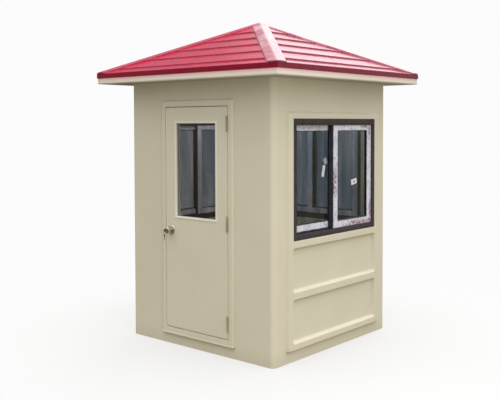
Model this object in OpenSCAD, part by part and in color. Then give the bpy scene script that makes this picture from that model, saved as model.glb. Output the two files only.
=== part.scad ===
// Security guard booth: a square glass-fibre cabin with a hipped roof.
// One door stands in the front wall and each other wall has a sliding window.
// Millimetres, +Z up. The origin is the centre of the base on the ground.
// The door wall faces -Y. Each wall is drawn as the front wall and turned about Z.

/* [Body] */
// Side of the square plan, outside the flat walls
booth_w = 1600; // [1550:10:2600]
// Height from the ground to the soffit
wall_h = 2210; // [2120:10:3000]
// Thickness of the sandwich walls
wall_t = 60; // [40:5:66]
// Outside radius of the vertical corners
corner_r = 40; // [10:5:40]

/* [Base and floor] */
// Height of the welded base frame
base_h = 70; // [40:5:90]
// Width of one base frame member
base_member_w = 60; // [40:5:80]
// Width of the joist across the middle of the base frame
joist_w = 50; // [30:5:80]
// Thickness of the floor deck
deck_t = 60; // [30:5:70]

/* [Moulded window surround] */
// How far the moulded surround stands out of the wall
surround_out = 28; // [10:1:40]
// Width of the surround beside and below the window and its panels
surround_rim = 65; // [30:1:75]
// Width of the surround above the window
surround_head = 48; // [20:1:80]
// Height of the surround's bottom edge above the ground
surround_z = 90; // [40:5:150]
// Height of the lower sunk panel
panel_low_h = 330; // [200:5:330]
// Height of the upper sunk panel
panel_up_h = 330; // [200:5:330]
// Height of the rail between the sunk panels
panel_rail_h = 72; // [40:1:80]
// Corner radius of the surround and its panels
surround_r = 14; // [4:1:30]

/* [Windows] */
// Width of the window frame
win_w = 1166; // [700:2:1170]
// Height of the window frame
win_h = 950; // [600:5:1050]
// Height of the window's bottom edge above the ground
win_z = 950; // [950:5:1100]
// Depth of the window frame
win_depth = 80; // [70:1:86]
// Width of the window frame's jambs
win_jamb = 39; // [20:1:60]
// Height of the window frame's head
win_head = 50; // [20:1:70]
// Height of the window frame's sill track
win_sill = 45; // [20:1:70]
// Front of the window frame behind the face of the surround
win_inset = 2; // [0:1:10]
// Width of a sash stile
sash_stile = 62; // [30:1:70]
// Height of a sash's top rail
sash_top = 46; // [30:1:70]
// Height of a sash's bottom rail
sash_bottom = 62; // [30:1:80]
// Thickness of a sash
sash_t = 28; // [16:1:30]
// Space between the outer and inner sashes
sash_gap = 6; // [4:1:12]
// Front of the outer sash behind the front of the window frame
sash_back = 12; // [4:1:14]
// Width over which the two closed sashes overlap
sash_lap = 66; // [30:1:80]
// Thickness of the window panes
pane_t = 5; // [3:0.5:10]

/* [Door] */
// Width of the door leaf
door_w = 700; // [600:5:800]
// Height of the door leaf
door_h = 1850; // [1700:5:1900]
// Bottom of the door leaf above the ground
door_z = 148; // [140:1:180]
// Thickness of the door leaf
door_t = 40; // [30:1:50]
// Running clearance round and behind the leaf
door_gap = 5; // [5:0.5:8]
// Width of the door frame's lining in the wall
lining_t = 25; // [15:1:40]
// How far the door stop covers the leaf's edge
stop_w = 15; // [10:1:25]
// Width of the raised architrave round the door
architrave_w = 53; // [35:1:80]
// How far the architrave stands out of the wall
architrave_out = 20; // [8:1:30]
// Width of the vision panel's cut-out in the leaf
vision_w = 470; // [200:5:500]
// Height of the vision panel's cut-out in the leaf
vision_h = 796; // [300:2:900]
// Bottom of the vision panel's cut-out above the ground
vision_z = 1081; // [900:1:1100]
// Width of the glazing bead round the vision panel
bead_w = 12; // [6:1:20]
// How far the glazing bead stands out of the leaf
bead_out = 4; // [0:0.5:8]

/* [Hinges] */
// Length of one hinge
hinge_h = 124; // [80:1:160]
// Radius of a hinge knuckle
knuckle_r = 7.5; // [5:0.5:9]
// Radius of the hinge pin
pin_r = 4; // [2:0.5:4]
// Radial running clearance of the hinge pin
pin_gap = 0.1; // [0.05:0.01:0.1]
// Thickness of a hinge leaf, in the gap beside the door
hinge_leaf_t = 1.8; // [1:0.1:2]
// Distance from the knuckle to the far edge of a hinge leaf
hinge_leaf_w = 32; // [20:1:34]
// Running clearance between the knuckles
knuckle_gap = 1; // [0.5:0.1:2]
// Middle of the lowest hinge above the ground
hinge_low_z = 274; // [230:1:400]
// Middle of the centre hinge above the ground
hinge_mid_z = 1068; // [900:1:1200]
// Middle of the top hinge above the ground
hinge_top_z = 1861; // [1600:1:1880]

/* [Door knob] */
// Distance from the leaf's free edge to the knob's axis
knob_backset = 64; // [55:1:80]
// Height of the knob's axis above the ground
knob_z = 972; // [850:1:1060]
// Radius of the knob
knob_r = 30; // [20:0.5:32]
// Length of the knob along its axis
knob_len = 38; // [25:1:50]
// Length of the neck between the rose and the knob
neck_len = 15; // [12:1:40]
// Radius of the neck
neck_r = 13; // [8:0.5:18]
// Radius of the round rose
rose_r = 40; // [28:0.5:45]
// Height of the rose
rose_h = 9; // [4:0.5:14]
// Radius of the spindle
spindle_r = 7; // [4:0.5:10]
// Running clearance round the neck and the spindle
spindle_gap = 0.4; // [0.3:0.1:1]
// Radius of the key's bow
key_r = 12; // [8:0.5:16]
// Thickness of the keys
key_t = 2.4; // [1.5:0.1:4]
// Width of a key's blade, and the part of it that shows
key_neck = 8; // [5:0.5:10]
// Radius of the eye in the key's bow
key_eye_r = 3; // [2:0.5:4]
// Middle radius of the key ring
ring_r = 11; // [8:0.5:16]
// Radius of the key ring's wire
ring_wire_r = 1; // [0.6:0.1:1.5]
// Length of the key that hangs on the ring
key_len = 52; // [30:1:70]

/* [Roof] */
// How far the roof stands out past the walls
eave_out = 215; // [100:5:400]
// Height of the cream fascia
fascia_h = 50; // [30:1:100]
// Thickness of the fascia
fascia_t = 25; // [12:1:40]
// How far the red edge stands out past the fascia
edge_out = 3; // [0:0.5:10]
// Height of the red eave edge
edge_h = 42; // [20:1:80]
// Thickness of the red eave edge
edge_t = 20; // [10:1:22]
// Thickness of the soffit and ceiling board
soffit_t = 15; // [8:1:25]
// Rise of the roof from the red edge to its peak
roof_rise = 450; // [250:5:800]
// Number of lapped courses on a roof slope
courses = 6; // [3:1:9]
// Rise of the lowest course
first_rise = 45; // [20:1:80]
// Rise of each other course, up to the top one
course_rise = 76.5; // [25:0.5:90]
// Depth of the step at each lap
lap_h = 10; // [4:0.5:14]
// Thickness of the roof shell, measured straight down
roof_t = 24; // [18:1:40]
// Width of a hip cap over the hip, in plan
cap_w = 144; // [60:2:240]
// Thickness of a hip cap, measured straight up
cap_t = 8; // [4:0.5:20]
// How far a hip cap stands out past the eave
cap_out = 3; // [0:0.5:10]

/* [Hidden] */
$fn = 48;

// Turns about Z that carry the front wall to each side
FRONT = 0;
RIGHT = 90;
BACK = 180;
LEFT = 270;

seat = 0.3;                 // the small gap at a seat that isn't face to face
far = booth_w * 2;          // reaches past the whole booth

// Walls
half = booth_w / 2;         // outer face of a wall
inner = half - wall_t;      // inner face of a wall
deck_top = base_h + deck_t;

// Windows, as drawn on the front side
win_top = win_z + win_h;
surround_face = half + surround_out;
surround_w = win_w + 2 * surround_rim;
surround_top = win_top + surround_head;
win_face = surround_face - win_inset;
panel_low_z = surround_z + surround_rim;
panel_up_z = panel_low_z + panel_low_h + panel_rail_h;
sash_z = win_z + win_sill;
sash_h = win_h - win_sill - win_head;
sash_clear_w = win_w - 2 * win_jamb;
sash_w = (sash_clear_w + sash_lap) / 2;
outer_sash_face = win_face - sash_back;
inner_sash_face = outer_sash_face - sash_t - sash_gap;

// Door, in the front wall
leaf_face = half + architrave_out;
leaf_back = leaf_face - door_t;
opening_w = door_w + 2 * door_gap;
opening_z = door_z - door_gap;
opening_h = door_h + 2 * door_gap;
lining_w = opening_w + 2 * lining_t;
lining_z = opening_z - lining_t;
lining_h = opening_h + 2 * lining_t;
stop_open_w = door_w - 2 * stop_w;
stop_open_z = door_z + stop_w;
stop_open_h = door_h - 2 * stop_w;

// Hinge axis, just clear of the corners of the leaf and of the frame
hinge_x = (door_w + door_gap) / 2;
hinge_y = -leaf_face - sqrt(pow(knuckle_r + 2 * seat, 2) - pow(door_gap / 2, 2));
hinge_zs = [hinge_low_z, hinge_mid_z, hinge_top_z];
knuckles = 5;
knuckle_h = hinge_h / knuckles;
knuckle_reach = -leaf_face - hinge_y;

// Knob axis, and the planes of its parts along Y
knob_x = -door_w / 2 + knob_backset;
rose_front = -leaf_face - rose_h;
neck_foot = 1;              // the neck's end, just clear of the leaf
key_y = rose_front - neck_len - knob_len;
eye_y = key_y - key_neck - key_r;
eye_z = knob_z - key_r + key_eye_r + 2;
ring_z = eye_z - (key_eye_r - ring_wire_r - seat) - ring_r;
spare_bow_r = key_r * 0.8;

// Roof, where the slope is drawn in the YZ plane
eave = half + eave_out;
fascia_out = eave - edge_out;
fascia_in = fascia_out - fascia_t;
edge_bottom = wall_h + fascia_h;
edge_top = edge_bottom + edge_h;
peak = edge_top + roof_rise;
slope = roof_rise / eave;

// Height of the plane of the course noses at a distance out from the centre
function nose_z(out) = peak - out * slope;
// Distance out from the centre at which a course's nose stands
function nose_out(k) = eave - (first_rise + (k - 1) * course_rise) / slope;

// ---------------------------------------------------------------- helpers
// A slab on the front side, from its outer face inwards, given by x, z and size
module slab(x, z, w, h, face, t)
    translate([x, -face, z]) cube([w, t, h]);

// A rectangle centred on x = 0 that stands at height z, with rounded corners
module soft_rect(w, z, h, r) {
    for (x = [-w / 2 + r, w / 2 - r], corner_z = [z + r, z + h - r])
        translate([x, corner_z]) circle(r);
    translate([-w / 2 + r, z]) square([w - 2 * r, h]);
    translate([-w / 2, z + r]) square([w, h - 2 * r]);
}

module rect(w, z, h)
    translate([-w / 2, z]) square([w, h]);

// An outline drawn in X and Z, made solid from its front face inwards
module panel(face, t)
    translate([0, -face + t, 0]) rotate([90, 0, 0]) linear_extrude(t) children();

// ---------------------------------------------------------------- base
module base_frame() color([0.25, 0.26, 0.27]) difference() {
    translate([-inner, -inner, 0]) cube([2 * inner, 2 * inner, base_h]);
    for (side = [-1, 1]) {
        bay = inner - base_member_w - joist_w / 2;
        mid = side * (joist_w / 2 + bay / 2);
        translate([mid - bay / 2, -inner + base_member_w, -1])
            cube([bay, 2 * (inner - base_member_w), base_h + 2]);
    }
}

module floor_deck() color([0.45, 0.45, 0.43])
    translate([-inner, -inner, base_h]) cube([2 * inner, 2 * inner, deck_t]);

// ---------------------------------------------------------------- front wall
module front_wall_left() color([0.74, 0.71, 0.63])
    slab(-inner, 0, inner - lining_w / 2, wall_h, half, wall_t);

module front_wall_right() color([0.74, 0.71, 0.63])
    slab(lining_w / 2, 0, inner - lining_w / 2, wall_h, half, wall_t);

module front_wall_head() color([0.74, 0.71, 0.63])
    slab(-lining_w / 2, lining_z + lining_h, lining_w, wall_h - lining_z - lining_h, half, wall_t);

module front_wall_sill() color([0.74, 0.71, 0.63])
    slab(-lining_w / 2, 0, lining_w, lining_z, half, wall_t);

// ---------------------------------------------------------------- window walls
// A flat wall with a moulded surround that frames the window and two sunk panels
module window_wall(turn) color([0.80, 0.77, 0.68]) rotate([0, 0, turn]) {
    panel(half, wall_t) difference() {
        rect(2 * inner, 0, wall_h);
        rect(win_w, win_z, win_h);
    }
    panel(surround_face, surround_out + 1) difference() {
        soft_rect(surround_w, surround_z, surround_top - surround_z, surround_r);
        rect(win_w, win_z, win_h);
        soft_rect(win_w, panel_low_z, panel_low_h, surround_r);
        soft_rect(win_w, panel_up_z, panel_up_h, surround_r);
    }
}

// A corner post that fills the corner between two walls, with its outer edge rounded
module corner(turn) color([0.80, 0.77, 0.68]) rotate([0, 0, turn]) translate([inner, -half, 0])
    linear_extrude(wall_h) {
        difference() {
            square(wall_t);
            translate([wall_t - corner_r, -1]) square([corner_r + 1, corner_r + 1]);
        }
        intersection() {
            translate([wall_t - corner_r, corner_r]) circle(corner_r);
            translate([wall_t - corner_r, 0]) square(corner_r);
        }
    }

// ---------------------------------------------------------------- windows
module window_frame(turn) color([0.20, 0.19, 0.19]) rotate([0, 0, turn])
    panel(win_face, win_depth) difference() {
        rect(win_w, win_z, win_h);
        rect(sash_clear_w, sash_z, sash_h);
    }

// One sash, from its face inwards, with its left edge at x
module sash(x, face) color([0.27, 0.26, 0.27]) panel(face, sash_t) translate([x, sash_z]) difference() {
    square([sash_w, sash_h]);
    translate([sash_stile, sash_bottom])
        square([sash_w - 2 * sash_stile, sash_h - sash_top - sash_bottom]);
}

// The pane that fills a sash, in the middle of its thickness
module pane(x, face)
    slab(x + sash_stile, sash_z + sash_bottom,
         sash_w - 2 * sash_stile, sash_h - sash_top - sash_bottom,
         face - (sash_t - pane_t) / 2, pane_t);

outer_sash_x = sash_clear_w / 2 - sash_w;
inner_sash_x = -sash_clear_w / 2;

module outer_sash(turn) rotate([0, 0, turn]) sash(outer_sash_x, outer_sash_face);

module inner_sash(turn) rotate([0, 0, turn]) sash(inner_sash_x, inner_sash_face);

module window_panes(turn) color([0.35, 0.40, 0.44, 0.6]) rotate([0, 0, turn]) {
    pane(outer_sash_x, outer_sash_face);
    pane(inner_sash_x, inner_sash_face);
}

// ---------------------------------------------------------------- door
// The architrave in front of the wall, the lining through it and the stop behind the leaf
module door_frame() color([0.76, 0.73, 0.65]) {
    panel(leaf_face, architrave_out) difference() {
        soft_rect(opening_w + 2 * architrave_w, opening_z - architrave_w,
                  opening_h + 2 * architrave_w, surround_r);
        rect(opening_w, opening_z, opening_h);
    }
    panel(half, wall_t) difference() {
        rect(lining_w, lining_z, lining_h);
        rect(opening_w, opening_z, opening_h);
    }
    panel(leaf_back - door_gap, leaf_back - door_gap - inner) difference() {
        rect(opening_w, opening_z, opening_h);
        rect(stop_open_w, stop_open_z, stop_open_h);
    }
}

module door_leaf() color([0.73, 0.71, 0.63]) difference() {
    panel(leaf_face, door_t) difference() {
        rect(door_w, door_z, door_h);
        rect(vision_w, vision_z, vision_h);
    }
    translate([knob_x, 0, knob_z]) rotate([90, 0, 0])
        cylinder(h = leaf_face + 1, r = spindle_r + spindle_gap);
}

// Beads on both faces of the leaf, joined through the cut-out
module door_bead() color([0.82, 0.80, 0.74]) {
    panel(leaf_face, door_t) difference() {
        rect(vision_w, vision_z, vision_h);
        vision_light();
    }
    for (face = [leaf_face + bead_out, leaf_back])
        panel(face, bead_out) difference() {
            rect(vision_w + bead_w, vision_z - bead_w / 2, vision_h + bead_w);
            vision_light();
        }
}

module vision_light()
    rect(vision_w - 2 * bead_w, vision_z + bead_w, vision_h - 2 * bead_w);

module door_glass() color([0.35, 0.40, 0.44, 0.6])
    panel(leaf_face - (door_t - pane_t) / 2, pane_t) vision_light();

// ---------------------------------------------------------------- hinges
// The knuckles of one hinge from the first to the last, every other one
module knuckle_set(first) {
    for (k = [first : 2 : knuckles - 1]) {
        low = k == 0 ? 0 : knuckle_gap / 2;
        high = k == knuckles - 1 ? 0 : knuckle_gap / 2;
        translate([0, 0, -hinge_h / 2 + k * knuckle_h + low])
            linear_extrude(knuckle_h - low - high) children();
    }
}

// The web that carries a knuckle into the gap, on the side of the frame or the leaf
module knuckle_web(side)
    translate([side > 0 ? door_gap / 2 - hinge_leaf_t : -door_gap / 2, 0])
        square([hinge_leaf_t, knuckle_reach + 2]);

module hinge_leaf(side)
    translate([side > 0 ? door_gap / 2 - hinge_leaf_t : -door_gap / 2, knuckle_reach + 1, -hinge_h / 2])
        cube([hinge_leaf_t, hinge_leaf_w, hinge_h]);

// The frame's half of each hinge, with the pin through all the knuckles
module hinge_frame_leaves() color([0.55, 0.52, 0.45])
    for (z = hinge_zs) translate([hinge_x, hinge_y, z]) {
        translate([0, 0, -hinge_h / 2]) cylinder(h = hinge_h, r = pin_r);
        for (k = [0 : 2 : knuckles - 1])
            translate([0, 0, -hinge_h / 2 + k * knuckle_h + (k == 0 ? 0 : knuckle_gap / 2)])
                cylinder(h = knuckle_h - (k == 0 || k == knuckles - 1 ? 0.5 : 1) * knuckle_gap,
                         r = knuckle_r);
        knuckle_set(0) knuckle_web(1);
        hinge_leaf(1);
    }

// The leaf's half of each hinge, bored for the pin
module hinge_door_leaves() color([0.55, 0.52, 0.45])
    for (z = hinge_zs) translate([hinge_x, hinge_y, z]) {
        difference() {
            union() {
                for (k = [1 : 2 : knuckles - 1])
                    translate([0, 0, -hinge_h / 2 + k * knuckle_h + knuckle_gap / 2])
                        cylinder(h = knuckle_h - knuckle_gap, r = knuckle_r);
                knuckle_set(1) knuckle_web(-1);
            }
            translate([0, 0, -hinge_h / 2 - 1]) cylinder(h = hinge_h + 2, r = pin_r + pin_gap);
        }
        hinge_leaf(-1);
    }

// ---------------------------------------------------------------- knob
// Places a lathed part on the knob's axis, with its foot at y, pointing out or in
module on_knob_axis(y, out)
    translate([knob_x, y, knob_z]) rotate([out > 0 ? 90 : -90, 0, 0]) children();

module rose()
    difference() {
        union() {
            cylinder(h = rose_h - 3, r = rose_r);
            translate([0, 0, rose_h - 3]) cylinder(h = 3, r1 = rose_r, r2 = rose_r - 5);
        }
        translate([0, 0, -1]) cylinder(h = rose_h + 2, r = neck_r + spindle_gap);
    }

module knob_roses() color([0.62, 0.60, 0.57]) {
    on_knob_axis(-leaf_face, 1) rose();
    on_knob_axis(-leaf_back, -1) rose();
}

// A turned knob: a neck that enters the rose, a full body and a flat end
module knob()
    rotate_extrude()
        polygon([
            [0, neck_foot], [neck_r, neck_foot], [neck_r, rose_h + neck_len * 0.5],
            [knob_r * 0.75, rose_h + neck_len],
            [knob_r, rose_h + neck_len + knob_len * 0.35],
            [knob_r, rose_h + neck_len + knob_len * 0.62],
            [knob_r * 0.80, rose_h + neck_len + knob_len],
            [0, rose_h + neck_len + knob_len]
        ]);

module knob_outer() color([0.66, 0.64, 0.61]) on_knob_axis(-leaf_face, 1) knob();

// The inner knob carries the spindle, which reaches the outer knob's neck through the leaf
module knob_inner() color([0.66, 0.64, 0.61]) {
    on_knob_axis(-leaf_back, -1) knob();
    on_knob_axis(-leaf_back + neck_foot, 1) cylinder(h = door_t + 2 * neck_foot, r = spindle_r);
}

// The key that is in the lock, with the flat of its bow upright and an eye near its lower edge
module lock_key() difference() {
    translate([knob_x - key_t / 2, key_y, knob_z]) {
        translate([0, -key_neck, -key_neck / 2]) cube([key_t, key_neck, key_neck]);
        translate([0, -key_neck - key_r + 2, 0]) rotate([0, 90, 0]) cylinder(h = key_t, r = key_r);
    }
    translate([knob_x - key_t, eye_y, eye_z]) rotate([0, 90, 0]) cylinder(h = 2 * key_t, r = key_eye_r);
}

// The ring rests on the lower edge of the eye, and another key hangs from it
module spare_key() translate([knob_x, eye_y, ring_z]) {
    rotate([90, 0, 0]) rotate_extrude() translate([ring_r, 0]) circle(ring_wire_r);
    translate([0, key_t / 2, -ring_r + ring_wire_r]) rotate([90, 0, 0]) linear_extrude(key_t) {
        translate([0, -spare_bow_r]) circle(spare_bow_r);
        translate([-key_neck / 2, -key_len]) square([key_neck, key_len - spare_bow_r]);
    }
}

module door_keys() color([0.52, 0.49, 0.44]) {
    lock_key();
    spare_key();
}

// ---------------------------------------------------------------- roof
module soffit() color([0.62, 0.60, 0.54])
    translate([-fascia_in, -fascia_in, wall_h]) cube([2 * fascia_in, 2 * fascia_in, soffit_t]);

module fascia() color([0.84, 0.81, 0.74]) difference() {
    translate([-fascia_out, -fascia_out, wall_h]) cube([2 * fascia_out, 2 * fascia_out, fascia_h]);
    translate([-fascia_in, -fascia_in, wall_h - 1]) cube([2 * fascia_in, 2 * fascia_in, fascia_h + 2]);
}

// Section of one slope in Y and Z: lapped courses above, a plain slope below
function course_points() = [
    for (k = [1 : courses - 1])
        let (out = nose_out(k))
            each [[-out, nose_z(out) - lap_h], [-out, nose_z(out)]]
];

module slope_section()
    polygon(concat(
        [[-eave, edge_bottom], [-eave, edge_top]],
        course_points(),
        [[0, peak], [0, peak - roof_t]],
        [[-eave + edge_t, nose_z(eave - edge_t) - roof_t], [-eave + edge_t, edge_bottom]]
    ));

// One slope, cut to its quarter of the plan at the two hips
module roof_slope(turn) color([0.78, 0.32, 0.42]) rotate([0, 0, turn]) intersection() {
    translate([-eave, 0, 0]) rotate([90, 0, 90]) linear_extrude(2 * eave) slope_section();
    linear_extrude(peak + 1) polygon([[0, 0], [-eave, -eave], [eave, -eave]]);
}

// All that lies under the plane of the noses, lifted by a height, on one axis
module under_slopes(lift) {
    reach = eave + cap_out;
    translate([-far / 2, 0, 0]) rotate([90, 0, 90]) linear_extrude(far)
        polygon([
            [-reach, wall_h], [reach, wall_h],
            [reach, nose_z(reach) + lift], [0, peak + lift], [-reach, nose_z(reach) + lift]
        ]);
}

module under_roof(lift) intersection() {
    under_slopes(lift);
    rotate([0, 0, 90]) under_slopes(lift);
}

// A folded strip over the hip in the corner at +X -Y, turned to the others
module hip_cap(turn) color([0.90, 0.62, 0.70]) rotate([0, 0, turn]) intersection() {
    difference() {
        under_roof(cap_t + seat);
        under_roof(seat);
    }
    translate([0, 0, wall_h]) rotate([0, 0, -45])
        translate([0, -cap_w / 2, 0]) cube([far, cap_w, far]);
    translate([0, -far, wall_h]) cube([far, far, far]);
}

base_frame();
floor_deck();
front_wall_left();
front_wall_right();
front_wall_head();
front_wall_sill();
window_wall(RIGHT);  // right_wall
window_wall(BACK);  // back_wall
window_wall(LEFT);  // left_wall
corner(FRONT);  // corner_front_right
corner(RIGHT);  // corner_back_right
corner(BACK);  // corner_back_left
corner(LEFT);  // corner_front_left
door_frame();
hinge_frame_leaves();
door_leaf();
door_bead();
door_glass();
hinge_door_leaves();
knob_roses();
knob_outer();
knob_inner();
door_keys();
window_frame(RIGHT);  // right_window_frame
outer_sash(RIGHT);  // right_window_outer_sash
inner_sash(RIGHT);  // right_window_inner_sash
window_panes(RIGHT);  // right_window_panes
window_frame(BACK);  // back_window_frame
outer_sash(BACK);  // back_window_outer_sash
inner_sash(BACK);  // back_window_inner_sash
window_panes(BACK);  // back_window_panes
window_frame(LEFT);  // left_window_frame
outer_sash(LEFT);  // left_window_outer_sash
inner_sash(LEFT);  // left_window_inner_sash
window_panes(LEFT);  // left_window_panes
soffit();
fascia();
roof_slope(FRONT);  // roof_front
roof_slope(RIGHT);  // roof_right
roof_slope(BACK);  // roof_back
roof_slope(LEFT);  // roof_left
hip_cap(FRONT);  // hip_front_right
hip_cap(RIGHT);  // hip_back_right
hip_cap(BACK);  // hip_back_left
hip_cap(LEFT);  // hip_front_left
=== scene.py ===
# %% [markdown]
# # Security guard booth
# A small cabin of moulded glass-fibre plastic under a red hipped roof, with one door and
# three sliding windows. The exact model gives every size. This script keeps each flat piece
# that is already right, and makes the moulded, rolled and turned pieces afresh, each as a
# surface worked out with numpy, then gives every surface a finish made of shader nodes.

# %% Load the fixed frame
import math

import bpy
import numpy as np
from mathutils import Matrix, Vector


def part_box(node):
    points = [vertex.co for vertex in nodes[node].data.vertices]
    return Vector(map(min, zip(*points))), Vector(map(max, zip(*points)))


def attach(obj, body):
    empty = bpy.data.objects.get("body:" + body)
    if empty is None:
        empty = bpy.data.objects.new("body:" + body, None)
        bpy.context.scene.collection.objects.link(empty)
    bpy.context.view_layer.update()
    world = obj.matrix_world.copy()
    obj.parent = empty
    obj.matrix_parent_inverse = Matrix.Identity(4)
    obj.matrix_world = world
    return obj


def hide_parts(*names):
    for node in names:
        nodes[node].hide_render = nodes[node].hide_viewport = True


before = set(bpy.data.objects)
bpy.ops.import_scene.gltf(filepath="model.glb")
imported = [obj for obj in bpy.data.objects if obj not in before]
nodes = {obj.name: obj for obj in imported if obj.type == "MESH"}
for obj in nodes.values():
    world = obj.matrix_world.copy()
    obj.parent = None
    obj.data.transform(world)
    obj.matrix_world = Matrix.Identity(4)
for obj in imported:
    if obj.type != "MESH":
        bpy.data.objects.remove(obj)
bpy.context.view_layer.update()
MM = 0.001

# %% [markdown]
# ## Turning the walls
# The three window walls are one moulding used three times. Each shape is worked out once, as
# if it stood on the front, and is then turned about the upright axis by whole quarter turns.
# Swapping the two ground coordinates does that exactly, where a sine would leave a rounding.

# %% Quarter turns and boxes seen from the front
SIDES = {"front": 0, "right": 1, "back": 2, "left": 3}


def turned(points, quarter):
    """Each quarter turn sends (x, y) to (-y, x) and leaves the height alone."""
    points = np.asarray(points, float)
    for _ in range(quarter % 4):
        points = np.stack([-points[..., 1], points[..., 0], points[..., 2]], -1)
    return points


def seen_box(node, side="front"):
    """The low and high corners of a node once its side is turned round to the front."""
    corners = turned([list(c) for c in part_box(node)], -SIDES[side])
    return corners.min(0), corners.max(0)


def outline_of(low, high):
    """The left, right, bottom and top of a box seen from the front."""
    return low[0], high[0], low[2], high[2]


leaf_low, leaf_high = seen_box("door_leaf")
window_low, window_high = seen_box("right_window_frame", "right")
(wall_end, wall_face, _), (_, wall_back, wall_top) = seen_box("front_wall_left")
print("door leaf", leaf_low, leaf_high)
print("window", window_low, window_high, "wall face", wall_face)

# %% [markdown]
# ## Skins
# Nearly every piece here is an outline carried along a path: a frame is a section carried
# round an opening, a knob is a profile carried round an axis, a roof slope is a section
# carried from hip to hip. So one helper skins a stack of equal outlines with four-sided
# faces. Whether the faces point out is decided by the sign of the volume they close in.

# %% Skinning a stack of outlines
def loft(sections, closed=False):
    """Joins point j of outline i to its neighbours j + 1 and i + 1. An open stack is capped."""
    sections = np.asarray(sections, float)
    rows, count = sections.shape[:2]
    i = np.arange(rows if closed else rows - 1)[:, None]
    j = np.arange(count)[None, :]
    k = (j + 1) % count
    up = (i + 1) % rows
    quads = np.stack([i * count + j, i * count + k, up * count + k, up * count + j], -1)
    caps = []
    if not closed:
        caps = [np.arange(count)[::-1], np.arange((rows - 1) * count, rows * count)]
    return outward(sections.reshape(-1, 3), quads.reshape(-1, 4), caps)


def outward(points, quads, caps=()):
    """Sums a . (b x c) over all triangles: if the volume is negative, every face is reversed."""
    fans = [np.stack([np.full(len(c) - 2, c[0]), c[1:-1], c[2:]], -1) for c in caps]
    triangles = np.concatenate([quads[:, [0, 1, 2]], quads[:, [0, 2, 3]], *fans])
    a, b, c = points[triangles].transpose(1, 0, 2)
    if np.einsum("ij,ij->", a, np.cross(b, c)) < 0:
        quads = quads[:, ::-1]
        caps = [c[::-1] for c in caps]
    return points, quads, list(caps)


def joined(*skins):
    """Puts skins in one mesh: the indices of each are raised by the points before it."""
    starts = np.cumsum([0] + [len(s[0]) for s in skins])
    points = np.concatenate([s[0] for s in skins])
    quads = np.concatenate([s[1] + n for s, n in zip(skins, starts)])
    caps = [c + n for s, n in zip(skins, starts) for c in s[2]]
    return points, quads, caps


# %% [markdown]
# ## From arrays to pieces
# A piece is a mesh with a finish. It rides on the body it is fixed to, so that it swings with
# the door or turns with the knob, and it may stand for the exact nodes whose place it takes.
# Shading is smooth except where two faces meet at more than the sharp angle.

# %% Making a piece
def shown(name, data):
    """A new object at the origin, shown in the scene."""
    made = bpy.data.objects.new(name, data)
    bpy.context.scene.collection.objects.link(made)
    return made


def make_piece(name, skin, finish, body="booth", stands_for=(), sharp=35, marks=None,
               turn=0):
    """Turns the skin by quarters, builds the mesh from whole arrays, shades it and ties it to its
    body. Marks are arrays with one value for each point, which a finish may read."""
    points, quads, caps = skin
    mesh = bpy.data.meshes.new(name)
    mesh.from_pydata(turned(points, turn).tolist(), [], quads.tolist() + [c.tolist() for c in caps])
    mesh.shade_smooth()
    mesh.set_sharp_from_angle(angle=math.radians(sharp))
    mesh.materials.append(finish)
    for label, values in (marks or {}).items():
        mark = mesh.attributes.new(label, "FLOAT", "POINT")
        mark.data.foreach_set("value", np.asarray(values, np.float32))
    piece = shown(name, mesh)
    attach(piece, body)
    if stands_for:
        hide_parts(*stands_for)
    return piece


# %% [markdown]
# ## Outlines
# Edges on moulded and drawn parts are never sharp, and it is the rounded edge that catches
# the light. An outline's corners are eased by a parabola that touches both of its sides,
# which is quick to work out for all the corners at once.

# %% Easing corners and carrying sections round a rectangle
HOLD = 0.8 * MM


def full_turn(count):
    """Equal angles once round a circle."""
    return np.linspace(0, 2 * math.pi, count, endpoint=False)


def eased(corners, reach, steps=3, hold=0.0):
    """Replaces each corner p by p + reach (1-t)^2 towards the last and + reach t^2 towards the
    next. A hold adds a point that far outside each bend, which keeps the flats evenly shaded."""
    p = np.asarray(corners, float)
    reach = np.broadcast_to(np.asarray(reach, float), len(p))[:, None, None]
    t = np.linspace(0, 1, steps + 1)[None, :, None]
    last = np.roll(p, 1, 0) - p
    following = np.roll(p, -1, 0) - p
    last /= np.linalg.norm(last, axis=1, keepdims=True)
    following /= np.linalg.norm(following, axis=1, keepdims=True)
    bend = last[:, None] * reach * (1 - t) ** 2 + following[:, None] * reach * t ** 2
    if hold:
        before = last[:, None] * (reach + hold)
        bend = np.concatenate([before, bend, following[:, None] * (reach + hold)], 1)
    return (p[:, None] + bend).reshape(-1, 2)


def rectangle_loops(inner, outer, rows, arc=5, radius=0.0):
    """Carries a section round an opening. Each row is (share, depth) or (share, depth, radius):
    the share runs from 0 at the inner rectangle to 1 at the outer one, and each corner of the
    resulting rectangle is a quarter circle. Rectangles are (left, right, low, high)."""
    rows = np.asarray(rows, float)
    if rows.shape[1] == 2:
        rows = np.column_stack([rows, np.full(len(rows), radius)])
    share = rows[:, :1]
    box = np.asarray(inner) * (1 - share) + np.asarray(outer) * share
    left, right, low, high = box.T[:, :, None]
    radius = np.maximum(rows[:, 2:3], 1e-5) if arc > 1 else np.zeros_like(rows[:, 2:3])
    angle = np.radians(np.linspace(0, 90, arc) if arc > 1 else [45.0])
    across = []
    upright = []
    for turn, (x, z, sx, sz) in enumerate(
            [(right, high, 1, 1), (left, high, -1, 1), (left, low, -1, -1), (right, low, 1, -1)]):
        swing = angle + turn * math.pi / 2
        across.append(x - sx * radius + radius * np.cos(swing))
        upright.append(z - sz * radius + radius * np.sin(swing))
    across = np.concatenate(across, 1)
    upright = np.concatenate(upright, 1)
    depth = np.broadcast_to(rows[:, 1:2], across.shape)
    return np.stack([across, depth, upright], -1)


def grown(box, *by):
    """A rectangle with its left, right, low and high edges moved by so many millimetres."""
    return np.array(box) + np.array(by) * MM


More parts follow.
